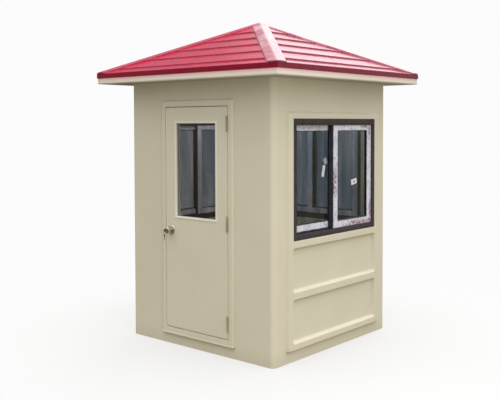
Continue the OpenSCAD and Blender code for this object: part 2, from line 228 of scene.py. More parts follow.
def slab(box, face, back, ease, radius=0.0, order=(0, 1, 2)):
    """A plate as a stack of rectangles from face to back, its edges drawn in by the easing. The
    order says which way the box lies: (1, 0, 2) turns its face to the side."""
    outer = np.array(box)
    inner = outer + np.array([1, -1, 1, -1]) * ease
    sign = 1 if back > face else -1
    rows = [(0, face, radius), (1, face + sign * ease, radius + ease),
            (1, back - sign * ease, radius + ease), (0, back, radius)]
    return loft(rectangle_loops(inner, outer, rows)[..., list(order)])


def lathed(profile, centre, axis, around=56, closed=False):
    """Turns a profile in millimetres about an axis: each row (along, radius) becomes a circle of
    that radius at that distance along the axis. An open profile is closed by a cap at each end."""
    profile = np.asarray(profile, float) * MM
    axis = np.asarray(axis, float) / np.linalg.norm(axis)
    side = np.cross(axis, [0.3, 0.2, 1.0])
    side /= np.linalg.norm(side)
    angle = full_turn(around)[:, None]
    ring = np.cos(angle) * side + np.sin(angle) * np.cross(axis, side)
    return loft(centre + profile[:, :1, None] * axis + profile[:, 1:2, None] * ring, closed)


# %% [markdown]
# ## Nodes
# Finishes are written as small graphs. One helper adds any node, sets its properties and
# fills its sockets with numbers or with the outputs of other nodes. Colours are given as the
# hex codes seen on a screen, and one function turns them to the linear values light needs.
# Pattern scales are worked out from sizes in millimetres. Three settings come back so often
# that they have names: a smooth range, a blend of two colours, and a product.

# %% Helpers for finishes
def colour(code):
    """Screen value to linear light: a straight line near black, a power of 2.4 above it."""
    screen = np.array([int(code[i:i + 2], 16) for i in (1, 3, 5)]) / 255
    light = np.where(screen <= 0.04045, screen / 12.92, ((screen + 0.055) / 1.055) ** 2.4)
    return (*light.tolist(), 1.0)


def per_mm(size):
    """The noise scale whose features are about this many millimetres across."""
    return 1000.0 / size


SMOOTH = {"interpolation_type": "SMOOTHSTEP"}
BLEND = {"data_type": "RGBA"}
TIMES = {"operation": "MULTIPLY"}


def adder(tree):
    """Gives the helper that adds a node to this tree. It feeds the sockets, in turn or by name,
    with numbers or with the outputs of other nodes, and sets the node's properties."""
    def add(kind, feeds=(), settings=None):
        made = tree.nodes.new("ShaderNode" + kind)
        for key, value in (settings or {}).items():
            setattr(made, key, value)
        for key, value in feeds.items() if isinstance(feeds, dict) else enumerate(feeds):
            if isinstance(value, bpy.types.Node):
                value = next(o for o in value.outputs if o.enabled)
            if isinstance(value, bpy.types.NodeSocket):
                tree.links.new(value, made.inputs[key])
            else:
                made.inputs[key].default_value = value
        return made
    return add


def new_finish(name):
    """An empty material, the helper for its nodes, and the place of each point in metres."""
    made = bpy.data.materials.new(name)
    made.use_nodes = True
    made.node_tree.nodes.clear()
    add = adder(made.node_tree)
    return made, add, add("TexCoord").outputs["Object"]


# %% [markdown]
# ## Cream gel coat
# The walls are glass fibre laid up in a polished mould, faced with a pigmented gel coat. It is
# smooth and faintly glossy. Over a wall a metre and a half wide the surface wanders by a
# fraction of a millimetre, which bends the reflections, and rain leaves the lightest of
# streaks and a little dust above the ground.

# %% Gel coat for the walls
def gel_coat(name, base, shade, wander=0.9, painted_red_reflection=0.0):
    """Colour from two noises and the height, bump from a slow wave and a fine orange peel. The
    painted red reflection is how strongly a reflection of the red roof edge is painted on the top of the
    fascia."""
    made, add, place = new_finish(name)
    clouds = add("TexNoise", {"Vector": place, "Scale": per_mm(420), "Detail": 3.0, "Roughness": 0.55})
    stretched = add("Mapping", {"Vector": place, "Scale": (1.0, 1.0, 0.09)})
    streaks = add("TexNoise", {"Vector": stretched, "Scale": per_mm(38), "Detail": 4.0, "Roughness": 0.6})
    height = add("SeparateXYZ", {0: place}).outputs["Z"]
    low = add("MapRange", [height, 0.0, 0.14, 0.6, 0.0], SMOOTH)
    cloud_share = add("MapRange", [clouds, 0.30, 0.72, 0.0, 0.30], SMOOTH)
    streak_share = add("MapRange", [streaks, 0.52, 0.80, 0.0, 0.10], SMOOTH)
    dust = add("Math", {0: low, 1: streaks}, TIMES).outputs[0]
    tone = add("Mix", {0: cloud_share, 6: colour(base), 7: colour(shade)}, BLEND)
    tone = add("Mix", {0: streak_share, 6: tone, 7: colour(shade)}, BLEND)
    tone = add("Mix", {0: dust, 6: tone, 7: colour("#B9AF95")}, BLEND)
    # Painted reflection: a pink laid on by height just under the roof edge stands in for the red edge
    # mirrored in the fascia.
    painted_reflection_share = add("MapRange", [height, 2.222, 2.260, 0.0, painted_red_reflection], SMOOTH)
    tone = add("Mix", {0: painted_reflection_share, 6: tone, 7: colour("#E08A8A")}, BLEND)
    wave = add("TexNoise", {"Vector": place, "Scale": per_mm(260), "Detail": 1.0})
    peel = add("TexNoise", {"Vector": place, "Scale": per_mm(9), "Detail": 2.0})
    slow = add("Bump", {"Strength": 0.6, "Distance": wander * MM * 2, "Height": wave})
    fine = add("Bump", {"Strength": 0.05, "Distance": 0.4 * MM, "Height": peel, "Normal": slow})
    gloss = add("MapRange", [clouds, 0.3, 0.7, 0.34, 0.46], SMOOTH)
    shader = add("BsdfPrincipled", {"Base Color": tone, "Roughness": gloss, "IOR": 1.5, "Normal": fine})
    add("OutputMaterial", {"Surface": shader})
    return made


cream = gel_coat("cream_polyester_gel_coat", "#D8D3BF", "#CDC7AF")
door_cream = gel_coat("cream_painted_door_skin", "#D9D5C1", "#CFC9B3", 0.5)
# The fascia's last figure is the strength of a painted reflection of the red roof edge on its top.
fascia_cream = gel_coat("cream_fascia_gel_coat", "#ECE6DC", "#DED6CA", 0.5, 0.55)
bead_cream = gel_coat("white_glazing_bead", "#E8E6DD", "#DEDACE", 0.2)
# The soffit's grey is painted shade: a colour darker than the cream, standing in for the shade under the
# eave.
soffit_painted_shade = gel_coat("soffit_panel_grey_painted_shade", "#ABA9A2", "#9C9A92", 0.5)

# %% [markdown]
# ## Red gel coat
# The roof is the same kind of moulding in a deep glossy red. Seen at a low angle it mirrors the
# sky, so it looks pink where the sky behind it is bright. Sun and rain have chalked it, which
# shows as slightly paler and rougher clouds, more so on the two slopes that get the sun.

# %% Gel coat for the roof
def roof_gel_coat(name, base, chalked, most, rough, edge_sheen):
    """A deep red with chalky clouds that are paler and rougher, streaks that run down the
    slope, and a long slow wave. The upright edge at the foot and the foot of each lap are darkened as
    painted shade, and the edge sheen tints the edge's reflection."""
    made, add, place = new_finish(name)
    clouds = add("TexNoise", {"Vector": place, "Scale": per_mm(190), "Detail": 5.0, "Roughness": 0.62})
    parts = add("SeparateXYZ", [place]).outputs
    weathered = add("MapRange", [parts["Z"], 2.32, 2.62, 0.35, 1.0], SMOOTH)
    chalk = add("MapRange", [clouds, 0.40, 0.66, 0.0, most], SMOOTH)
    chalk = add("Math", [chalk, weathered], TIMES)
    flat = add("Mapping", {"Vector": place, "Scale": (1.0, 1.0, 0.5)})
    streaks = add("TexNoise", {"Vector": flat, "Scale": per_mm(26), "Detail": 4.0, "Roughness": 0.6})
    streaks = add("MapRange", [streaks, 0.42, 0.66, 0.0, 0.35], SMOOTH)
    wave = add("TexNoise", {"Vector": place, "Scale": per_mm(150), "Detail": 1.5})
    bump = add("Bump", {"Strength": 0.5, "Distance": 1.2 * MM, "Height": wave})
    # Painted shade: the upright edge at the foot is darkened by height, and the foot of each lap by a mark
    # on the mesh, where shade falls under the noses.
    edge = add("MapRange", [parts["Z"], 2.296, 2.306, 1.0, 0.0], SMOOTH)
    lap_shade = add("Attribute", settings={"attribute_name": "lap_painted_shade"}).outputs["Fac"]
    deep = add("Math", [edge, 0.62], TIMES)
    deep = add("Math", [deep, lap_shade], {"operation": "MAXIMUM"})
    tone = add("Mix", {0: chalk, 6: colour(base), 7: colour(chalked)}, BLEND)
    tone = add("Mix", {0: streaks, 6: tone, 7: colour(chalked)}, BLEND)
    tone = add("Mix", {0: deep, 6: tone, 7: colour("#4E0512")}, BLEND)
    sheen = add("Mix", {0: edge, 6: colour("#FFFFFF"), 7: colour(edge_sheen)}, BLEND)
    gloss = add("MapRange", [clouds, 0.35, 0.75, rough, rough * 1.6], SMOOTH)
    shader = add("BsdfPrincipled", {
        "Base Color": tone, "Specular Tint": sheen, "Roughness": gloss, "IOR": 1.52, "Normal": bump})
    add("OutputMaterial", {"Surface": shader})
    return made


red = roof_gel_coat("red_polyester_gel_coat", "#BC2049", "#C8506C", 0.25, 0.15, "#8C2A3C")
sun_red = roof_gel_coat("sun_faded_red_gel_coat", "#A2264A", "#BC5A74", 0.35, 0.17, "#D9A4AC")
cap_red = roof_gel_coat(
    "chalked_red_hip_gel_coat", "#AE5C70", "#D3A4AE", 0.90, 0.18, "#D9A4AC")

# %% [markdown]
# ## Metals
# The window frames are extruded aluminium, anodised dark bronze: nearly black with a purple
# brown cast, and drawn lines along each bar too fine to show singly. The knob is satin nickel,
# brushed round its axis.

# %% Anodised aluminium, nickel, brass and steel
def metal(name, base, shade, rough, grain=3.0, metallic=1.0):
    """A tone that drifts between two colours, and a roughness and bump from a fine noise."""
    made, add, place = new_finish(name)
    clouds = add("TexNoise", {"Vector": place, "Scale": per_mm(60), "Detail": 4.0, "Roughness": 0.6})
    lines = add("TexNoise", {"Vector": place, "Scale": per_mm(grain), "Detail": 3.0})
    drift = add("MapRange", [clouds, 0.35, 0.7], SMOOTH)
    tone = add("Mix", {0: drift, 6: colour(base), 7: colour(shade)}, BLEND)
    bump = add("Bump", {"Strength": 0.12, "Distance": 0.2 * MM, "Height": lines})
    gloss = add("MapRange", [lines, 0.3, 0.7, rough * 0.8, rough * 1.25], SMOOTH)
    shader = add("BsdfPrincipled", {
        "Base Color": tone, "Metallic": metallic, "Roughness": gloss, "Normal": bump})
    add("OutputMaterial", {"Surface": shader})
    return made


bronze = metal("dark_bronze_anodised_aluminium", "#4E474C", "#413C43", 0.42, 4.0, 0.65)
# The sash bars get a lighter, bluer copy of the frame's bronze: painted sky reflection, which also lightens
# the shade on them.
sash_bronze_sky_reflection = metal("bronze_sash_bar_painted_sky_reflection", "#5A5C68", "#4C4E5A", 0.40, 4.0, 0.65)
nickel = metal("satin_nickel", "#D8D1C2", "#BDB5A5", 0.13, 1.2)
key_brass = metal("nickel_plated_brass_key", "#A0988C", "#7F776B", 0.30, 1.0)
# The hinges are painted steel, and their colour is darker than that paint: painted shade for the shade they
# sit in.
hinge_paint_and_shade = metal("painted_steel_hinge_with_painted_shade", "#ABA38E", "#948C77", 0.42, 3.0, 0.1)
zinc = metal("zinc_plated_steel", "#9A9C9E", "#808386", 0.4, 3.0)
primer = metal("grey_primed_steel", "#4B4E50", "#3B3D3F", 0.6, 8.0, 0.1)

# %% [markdown]
# ## Glass
# Each pane is grey tinted float glass, 5 mm thick, which lets through about a quarter of
# the light. A tint that light passes straight through is cheap and clean to render, and the
# mirror part grows towards grazing angles as Fresnel says. Both faces tint, so each has the
# square root of the whole. The tint is also painted lighter and darker in upright streaks, as painted
# reflection.

# %% Grey tinted glass
def tinted_glass(name, dark, light):
    """Straight-through tint in upright streaks of painted reflection between two tones, under a
    mirror that acts only on the faces turned to the eye: the share is Fresnel's, less 4 on a back face, and
    never below 0."""
    made, add, place = new_finish(name)
    # Painted reflection: upright streaks that move the tint between its two tones stand in for reflections
    # in the glass.
    stretched = add("Mapping", {"Vector": place, "Scale": (1.0, 1.0, 0.10)})
    painted_reflection_streaks = add("TexNoise", {"Vector": stretched, "Scale": per_mm(75), "Detail": 4.0, "Roughness": 0.62})
    painted_reflection_streaks = add("MapRange", [painted_reflection_streaks, 0.36, 0.66], SMOOTH)
    tint = add("Mix", {0: painted_reflection_streaks, 6: (*dark, 1), 7: (*light, 1)}, BLEND)
    through = add("BsdfTransparent", {"Color": tint})
    mirror = add("BsdfGlossy", {"Color": (0.93, 0.95, 0.96, 1), "Roughness": 0.03})
    rim = add("Fresnel", {"IOR": 1.5})
    entering = add("NewGeometry").outputs["Backfacing"]
    rim = add("Math", [entering, -4.0, rim], {"operation": "MULTIPLY_ADD"})
    rim = add("Math", [rim, 0.0], {"operation": "MAXIMUM"})
    pane = add("MixShader", [rim, through, mirror])
    add("OutputMaterial", {"Surface": pane})
    return made


glass = tinted_glass("grey_tinted_float_glass", (0.385, 0.44, 0.49), (0.56, 0.58, 0.60))
door_pane = tinted_glass("pale_grey_tinted_float_glass", (0.56, 0.55, 0.54), (0.70, 0.68, 0.66))

# %% [markdown]
# ## Film, rubber, paper and floor
# The sashes still wear the maker's protective film, a milky polythene tape that has wrinkled
# and gone faintly mauve where its print shows through. Black rubber seals the panes.

# %% Film, rubber, paper and vinyl
film, add, place = new_finish("milky_polythene_protective_film")
blotch = add("TexNoise", {"Vector": place, "Scale": per_mm(22), "Detail": 5.0, "Roughness": 0.65})
patch = add("TexNoise", {"Vector": place, "Scale": per_mm(130), "Detail": 2.0})
haze = add("MapRange", [patch, 0.35, 0.65, 0.15, 0.55], SMOOTH)
tone = add("Mix", {0: haze, 6: colour("#E6E8F4"), 7: colour("#BCBED0")}, BLEND)
spots = add("MapRange", [blotch, 0.54, 0.63, 0.0, 0.75], SMOOTH)
tone = add("Mix", {0: spots, 6: tone, 7: colour("#84829A")}, BLEND)
inked = add("Attribute", settings={"attribute_name": "inked"}).outputs["Fac"]
inked = add("Math", [inked, add("MapRange", [blotch, 0.42, 0.54], SMOOTH)], TIMES)
tone = add("Mix", {0: inked, 6: tone, 7: colour("#8A5069")}, BLEND)
crease = add("TexNoise", {"Vector": place, "Scale": per_mm(14), "Detail": 3.0})
bump = add("Bump", {"Strength": 0.5, "Distance": 0.8 * MM, "Height": crease})
gloss = add("MapRange", [crease, 0.3, 0.7, 0.25, 0.45], SMOOTH)
shader = add("BsdfPrincipled", {"Base Color": tone, "Roughness": gloss, "Normal": bump})
add("OutputMaterial", {"Surface": shader})


def plain_finish(name, base, shade, size, rough):
    """Two tones parted by a noise of the given size, with a bump to match."""
    made, add, place = new_finish(name)
    grain = add("TexNoise", {"Vector": place, "Scale": per_mm(size), "Detail": 4.0})
    bump = add("Bump", {"Strength": 0.3, "Distance": 0.3 * MM, "Height": grain})
    drift = add("MapRange", [grain, 0.4, 0.65], SMOOTH)
    tone = add("Mix", {0: drift, 6: colour(base), 7: colour(shade)}, BLEND)
    gloss = add("MapRange", [grain, 0.3, 0.7, rough * 0.9, rough * 1.1], SMOOTH)
    shader = add("BsdfPrincipled", {"Base Color": tone, "Roughness": gloss, "Normal": bump})
    add("OutputMaterial", {"Surface": shader})
    return made


rubber = plain_finish("black_epdm_gasket", "#17181A", "#222325", 6, 0.7)
paper = plain_finish("white_paper_label", "#E9EAEC", "#D6D8DD", 20, 0.6)
torn_paper = plain_finish("torn_grey_paper", "#A9ADB4", "#7F848C", 9, 0.7)
ink = plain_finish("grey_printed_patch", "#7D828A", "#6C7078", 5, 0.6)
# A dark beige used as painted shadow, for the strip under the door frame.
painted_shadow_finish = plain_finish("dark_bead_painted_shadow", "#8A826C", "#746C58", 8, 0.7)
vinyl = plain_finish("speckled_vinyl_floor", "#77756E", "#8B8980", 7, 0.5)

# %% [markdown]
# ## Window walls
# Each window wall is one moulding: a flat skin with a raised band that frames the window and
# two sunk panels under it. The band is a height over the wall, a function of two parameters,
# across and up. The height comes from the distance to the edges of rounded rectangles and
# climbs in a smooth step, so the foot and the crest are both round, as a mould needs them.
# The grid is fine near the edges and coarse on the flats.

# %% The height of the moulded band
BAND = 28 * MM
SLOPE = 22 * MM
band_box = (-0.648, 0.648, 0.090, 1.948)
low_panel = (-0.583, 0.583, 0.155, 0.485)
high_panel = (-0.583, 0.583, 0.557, 0.887)
opening = outline_of(window_low, window_high)


def depth_inside(across, up, box, radius):
    """Signed distance to a rounded rectangle, above zero inside: the distance to a box shrunk
    by the radius, less the radius, with its sign turned."""
    left, right, low, high = box
    dx = np.abs(across - (left + right) / 2) - (right - left) / 2 + radius
    dz = np.abs(up - (low + high) / 2) - (high - low) / 2 + radius
    outside = np.hypot(np.maximum(dx, 0), np.maximum(dz, 0))
    return radius - outside - np.minimum(np.maximum(dx, dz), 0)


def climb(distance):
    """A smooth step that is half way up at an edge: 3 t^2 - 2 t^3."""
    t = np.clip(distance / SLOPE + 0.5, 0, 1)
    return t * t * (3 - 2 * t)


def band_height(across, up):
    """The band is inside its own outline and outside both sunk panels. Round the window its
    lip turns in over the last few millimetres."""
    height = climb(depth_inside(across, up, band_box, 20 * MM))
    height = height * climb(-depth_inside(across, up, low_panel, 16 * MM))
    height = height * climb(-depth_inside(across, up, high_panel, 16 * MM))
    gap = np.clip(1 + depth_inside(across, up, opening, MM) / (6 * MM), 0, 1)
    return BAND * height - 1.8 * MM * gap ** 2


# %% The wall as a closed shell on a grid with a hole
def clustered(low, high, edges, reach=14 * MM, fine=2 * MM):
    """Grid lines from low to high that stand close together near each edge."""
    near = [e + s for e in edges for s in np.arange(-reach, reach + fine / 2, fine)]
    lines = np.array([low, high, *edges, *near])
    lines = np.unique(np.round(lines[(lines >= low) & (lines <= high)], 5))
    return lines[np.concatenate([[True], np.diff(lines) > 0.2 * MM])]


def pierced_shell(across, up, front, back, solid):
    """Front and back grids, joined by walls wherever a kept cell meets an empty one."""
    rows, cols = front.shape
    grid = np.arange(rows * cols).reshape(rows, cols)
    x, z = np.meshgrid(across, up)
    points = np.concatenate([np.stack([x, front, z], -1).reshape(-1, 3),
                             np.stack([x, back, z], -1).reshape(-1, 3)])
    cell = np.stack([grid[:-1, :-1], grid[:-1, 1:], grid[1:, 1:], grid[1:, :-1]], -1)
    faces = cell[solid]
    backs = faces[:, ::-1] + rows * cols
    padded = np.pad(solid, 1)
    quads = [faces, backs]
    for dx, dz, first, second in [(0, -1, 0, 1), (1, 0, 1, 2), (0, 1, 2, 3), (-1, 0, 3, 0)]:
        beyond = padded[1 + dz:1 + dz + rows - 1, 1 + dx:1 + dx + cols - 1]
        edge = cell[solid & ~beyond]
        a, b = edge[:, second], edge[:, first]
        quads.append(np.stack([a, b, b + rows * cols, a + rows * cols], -1))
    quads = np.concatenate(quads)
    used, quads = np.unique(quads, return_inverse=True)
    return outward(points[used], quads.reshape(-1, 4))


wall_x = clustered(wall_end, -wall_end, [*band_box[:2], *low_panel[:2]])
wall_z = clustered(0, wall_top, [*band_box[2:], *low_panel[2:], *high_panel[2:], *opening[2:]])
grid_x, grid_z = np.meshgrid(wall_x, wall_z)
middle_x, middle_z = np.meshgrid((wall_x[1:] + wall_x[:-1]) / 2, (wall_z[1:] + wall_z[:-1]) / 2)
solid = depth_inside(middle_x, middle_z, opening, 0.0) < 0
front = wall_face - band_height(grid_x, grid_z)
window_wall = pierced_shell(wall_x, wall_z, front, np.full_like(front, wall_back), solid)
for side in ("right", "back", "left"):
    make_piece(f"{side}_wall_moulding", window_wall, cream,
               stands_for=[f"{side}_wall"], sharp=50, turn=SIDES[side])
print("window wall faces", len(window_wall[1]))

# %% [markdown]
# ## Corner posts
# The corners of the cabin are rounded to a radius of about 40 mm. A corner is a section in
# plan, carried from the ground to the top: two short flats joined by a quarter circle.

# %% Corner posts
corner_r = 40 * MM
arc = np.radians(np.linspace(-90, 0, 15))
bow = np.stack([-wall_face - corner_r + corner_r * np.cos(arc),
                wall_face + corner_r + corner_r * np.sin(arc)], -1)
section = np.concatenate([[[-wall_end, wall_back], [-wall_end, wall_face]], bow[:1] - [[1.5 * MM, 0]],
                          bow, bow[-1:] + [[0, 1.5 * MM]], [[-wall_face, wall_back]]])
heights = np.array([0.0, 0.02, 0.9, wall_top])
stack = np.concatenate([np.broadcast_to(section, (len(heights), *section.shape)),
                        np.broadcast_to(heights[:, None, None], (len(heights), len(section), 1))], -1)
post = loft(stack)
for quarter, name in enumerate(("front_right", "back_right", "back_left", "front_left")):
    make_piece(f"corner_post_{name}", post, cream,
               stands_for=[f"corner_{name}"], sharp=50, turn=quarter)

# %% [markdown]
# ## Flat pieces that stay as they are
# The four flat parts of the front wall, the floor and the base frame are already right: flat
# sheets and plain bars. They only need their finish.

# %% Finishes on the exact pieces
windows = [f"{side}_window_panes" for side in ("right", "back", "left")]
kept = ((cream, [f"front_wall_{part}" for part in ("left", "right", "head", "sill")]),
        (vinyl, ["floor_deck"]), (primer, ["base_frame"]), (soffit_painted_shade, ["soffit"]),
        (glass, windows), (door_pane, ["door_glass"]))
for finish, names in kept:
    for name in names:
        slots = nodes[name].data.materials
        slots.clear()
        slots.append(finish)
print("exact pieces kept", sum(len(names) for _, names in kept))

# %% [markdown]
# ## Door frame, leaf and bead
# The frame is one section carried round the opening: a flat architrave that laps the wall, a
# lining through it and a stop behind the leaf. The leaf is a flat slab with rolled edges,
# pierced for a tall pane that is held by a bead on each face.

# %% Door frame
leaf = outline_of(leaf_low, leaf_high)
leaf_face = leaf_low[1]
leaf_back = leaf_high[1]
frame_low, frame_high = seen_box("door_frame")
DOOR_GAP = 5
door_opening = grown(leaf, -DOOR_GAP, DOOR_GAP, -DOOR_GAP, DOOR_GAP)
frame_outer = outline_of(frame_low, frame_high)
reach = frame_high[0] - door_opening[1]
stop_y = leaf_back + DOOR_GAP * MM
corners = np.array([
    (0, leaf_face), (reach, leaf_face), (reach, wall_face), (25 * MM, wall_face),
    (25 * MM, wall_back), (-20 * MM, wall_back), (-20 * MM, stop_y), (0, stop_y)])
ease = np.array([2.5, 17, 1.0, 0.5, 1.0, 2.0, 2.0, 0.5]) * MM
outline = eased(corners, ease, 4, HOLD)
rows = np.stack([outline[:, 0] / reach, outline[:, 1],
                 2 * MM + 12 * MM * np.clip(outline[:, 0] / reach, 0, 1)], -1)
make_piece("door_frame_moulding", loft(rectangle_loops(door_opening, frame_outer, rows), closed=True),
           cream, stands_for=["door_frame"])

# %% Drip bar and seal
drip_box = (frame_outer[0], frame_outer[1], frame_outer[2], frame_outer[2] + 12 * MM)
drip_bar = slab(drip_box, leaf_face - 3 * MM, wall_face, 1.5 * MM, 2 * MM)
make_piece("door_frame_drip_bar", drip_bar, cream)
# Painted shadow: a dark strip just under the frame stands in for the shadow that the drip bar casts on the
# wall.
shadow_strip_box = grown([*frame_outer[:3], frame_outer[2]], 4, -4, -7, 1)
shadow_strip = slab(shadow_strip_box, wall_face - 4 * MM, wall_face + MM, 1.5 * MM, 2 * MM)
make_piece("door_frame_painted_shadow_strip", shadow_strip, painted_shadow_finish)
bulb = eased([(-16, 0), (-16, -2.5), (-11, -4.4), (-6, -2.5), (-6, 0)], [0.3, 1.2, 3.0, 1.2, 0.3], 3) * MM
rows = np.column_stack([bulb[:, 0] / reach, stop_y + bulb[:, 1]])
seal = loft(rectangle_loops(door_opening, frame_outer, rows, radius=3 * MM), closed=True)
make_piece("door_seal", seal, rubber)

# %% Door leaf
bead_low, bead_high = seen_box("door_bead")
pane_low, pane_high = seen_box("door_glass")
cut = grown(outline_of(pane_low, pane_high), -12, 12, -12, 12)
corners = np.array([(0, leaf_face), (1, leaf_face), (1, leaf_back), (0, leaf_back)])
scale = np.array([leaf[1] - cut[1], 1.0])
outline = eased(corners * scale, np.array([1.0, 2.5, 2.5, 1.0]) * MM, 3, HOLD) / scale
make_piece("door_leaf_panel", loft(rectangle_loops(cut, leaf, outline, radius=2 * MM), closed=True),
           door_cream, "door", stands_for=["door_leaf"])

# %% Beads round the pane
bead_inner = outline_of(pane_low, pane_high)
bead_outer = outline_of(bead_low, bead_high)
width = bead_outer[1] - bead_inner[1]


def bead_on(face, inwards):
    """A flat strip with a rounded outer edge and a slope down towards the glass."""
    foot = face + 9 * MM * inwards
    tip = face - 4 * MM * inwards
    points = np.array([(0, foot), (0, tip + 2.5 * MM * inwards), (4 * MM, tip), (width, tip),
                       (width, face), (12 * MM, face), (12 * MM, foot)])
    section = eased(points, np.array([0.3, 1.5, 1.5, 2.0, 0.3, 0.3, 0.3]) * MM, 3) / [width, 1]
    return loft(rectangle_loops(bead_inner, bead_outer, section, radius=1.5 * MM), closed=True)


make_piece("door_glazing_bead", joined(bead_on(leaf_face, 1), bead_on(leaf_back, -1)), bead_cream,
           "door", stands_for=["door_bead"])

# %% [markdown]
# ## Sliding windows
# Each window is a frame with two sashes that slide on rails. One extruded section goes all the
# way round the frame: a face lip, two channels each with a rail in its middle, and an inner
# lip. It is drawn from the sash line (0) to the outside of the frame (1) and carried round the
# opening with mitred corners.

# %% Window frame section
clear = (-0.544, 0.544, 0.995, 1.850)
track = np.array([
    (1, 0), (0.30, 0), (0.24, 1.5), (-0.05, 1.5), (-0.05, 9), (0.30, 9.5), (0.30, 25.5),
    (0.02, 25.5), (0.02, 28.5), (0.30, 28.5), (0.30, 42), (0.0, 42), (0.0, 45), (0.30, 45.5),
    (0.30, 59.5), (0.02, 59.5), (0.02, 62.5), (0.30, 62.5), (0.30, 76), (0.0, 76), (0.0, 80), (1, 80)])
rows = track * [1, MM] + [0, window_low[1]]
frame_skin = loft(rectangle_loops(clear, opening, rows, arc=1), closed=True)

# %% Sash section
PANE_T = 5 * MM
STILE = 62
TOP_RAIL = 46
BOTTOM_RAIL = 62


def sash_skin(box, face, back):
    """A sash bar: a flat face, a shallow groove along its middle, a step down to the glass
    and an eased outer edge, the same on both faces."""
    inner = grown(box, STILE, -STILE, BOTTOM_RAIL, -TOP_RAIL)
    half = np.array([(0.0, 8), (0.02, 6.5), (0.13, 6), (0.16, 0.6), (0.19, 0), (0.52, 0), (0.54, 1.2),
                     (0.60, 1.2), (0.62, 0), (0.97, 0), (1.0, 1.6)]) * [1, MM]
    rows = np.concatenate([half + [0, face], half[::-1] * [1, -1] + [0, back]])
    return loft(rectangle_loops(inner, box, rows, arc=1), closed=True), inner


def gasket_skin(inner, face, back):
    """A thin rubber lip round each face of the pane."""
    rows = [(0, face), (1, face - 1.5 * MM), (1, back + 1.5 * MM), (0, back)]
    hole = grown(inner, 5, -5, 5, -5)
    return loft(rectangle_loops(hole, grown(inner, 0.2, -0.2, 0.2, -0.2), rows, arc=1), closed=True)


# %% [markdown]
# ## Protective film
# A strip of film is a sheet over the bar, a function of the distance along it and across it.
# Its edges wander a little, it lifts in long low creases, and it has a thickness of its own.

# %% Film strips
chance = np.random.default_rng(20)


def film_strip(box, face, lift=0.5):
    """A closed sheet over a rectangle of a bar. The edge wanders by a sum of sines, and the
    face stands off the bar by a small wave of both distances."""
    left, right, low, high = box
    along_x = right - left > high - low
    length = max(right - left, high - low)
    width = min(right - left, high - low)
    s, t = np.meshgrid(np.linspace(0, 1, int(length / (8 * MM)) + 2), np.linspace(0, 1, 7), indexing="ij")
    phase = chance.uniform(0, 6.28, 6)
    ripple = (np.sin(s * length * 60 + phase[0]) + 0.6 * np.sin(s * length * 143 + phase[1])
              + 0.4 * np.sin(s * length * 231 + phase[2]))
    other = (np.sin(s * length * 47 + phase[3]) + 0.6 * np.sin(s * length * 121 + phase[4]))
    edge = (t - 0.5) * width + (t * ripple - (1 - t) * other) * 0.9 * MM
    stand = lift * MM * (1 + 0.8 * np.sin(s * length * 90 + 5 * t + phase[5]) * np.sin(3.1 * t))
    run = (s - 0.5) * length
    x = (left + right) / 2 + (run if along_x else edge)
    z = (low + high) / 2 + (edge if along_x else run)
    front = np.stack([x, face - stand - 0.4 * MM, z], -1)
    back = np.stack([x, np.full_like(x, face - 0.05 * MM), z], -1)
    ring = np.concatenate([front, back[:, ::-1]], 1)
    return loft(ring)


# %% Where the print on the film shows
def inked_share(points):
    """The sum of a few soft spots, each falling off with the distance across and up."""
    spots = np.array([(-0.016, 1.375, 0.03, 0.12), (0.36, 1.012, 0.20, 0.022), (0.45, 1.835, 0.07, 0.012),
                      (0.515, 1.77, 0.012, 0.07), (0.525, 1.10, 0.014, 0.09)])
    across = (points[:, None, 0] - spots[:, 0]) / spots[:, 2]
    up = (points[:, None, 2] - spots[:, 1]) / spots[:, 3]
    return np.exp(-across ** 4 - up ** 4).sum(1).clip(0, 1)


# %% Windows on the three sides
FILM = {"outer": [(3, -4, -46, -2), (1, -3, 1, 54), (1, 60, 54, -45), (-68, -4, 54, -45)],
        "inner": [(3, -99, -46, -2), (3, -99, 13, 62)]}
ROOM_FILM = {"outer": [(3, -4, -43, -5), (3, -4, 8, 57)],
             "inner": [(3, -4, -43, -5), (3, -4, 8, 57), (-59, -3, 57, -43), (3, 58, 57, -43)]}


def film_on(box, insets, face):
    """Strips of film on one face of a sash. Each inset is in millimetres from the left and the
    bottom of the sash, or back from its right and its top where it is below zero."""
    left, right, low, high = box
    ends = ((left, right), (left, right), (low, high), (low, high))
    return joined(*[film_strip([end[i < 0] + i * MM for end, i in zip(ends, inset)], face)
                    for inset in insets])


for side in ("right", "back", "left"):
    quarter = SIDES[side]
    make_piece(f"{side}_frame_extrusion", frame_skin, bronze,
               stands_for=[f"{side}_window_frame"], sharp=30, turn=quarter)
    for layer in ("outer", "inner"):
        low, high = seen_box(f"{side}_window_{layer}_sash", side)
        box = outline_of(low, high)
        sash, inner = sash_skin(box, low[1], high[1])
        make_piece(f"{side}_{layer}_sash_bars", sash, sash_bronze_sky_reflection,
                   stands_for=[f"{side}_window_{layer}_sash"], sharp=30, turn=quarter)
        middle = (low[1] + high[1]) / 2
        gasket = gasket_skin(inner, middle - PANE_T / 2, middle + PANE_T / 2)
        make_piece(f"{side}_{layer}_gasket", gasket, rubber, sharp=30,
                   turn=quarter)
        strips = film_on(box, FILM[layer], low[1])
        printed = inked_share(strips[0]) if side == "right" else np.zeros(len(strips[0]))
        make_piece(f"{side}_{layer}_film", strips, film, sharp=60,
                   marks={"inked": printed}, turn=quarter)
        strips = film_on(box, ROOM_FILM[layer], -high[1])
        strips = outward(strips[0] * [1, -1, 1], *strips[1:])
        make_piece(f"{side}_{layer}_room_film", strips, film, sharp=60,
                   marks={"inked": np.zeros(len(strips[0]))}, turn=quarter)

# %% [markdown]
# ## Labels and the crescent lock
# Each pane of the window beside the door keeps a small blank paper label inside the glass, put
# on a little crooked. Where the sashes meet, a crescent lock is screwed to the inner one.

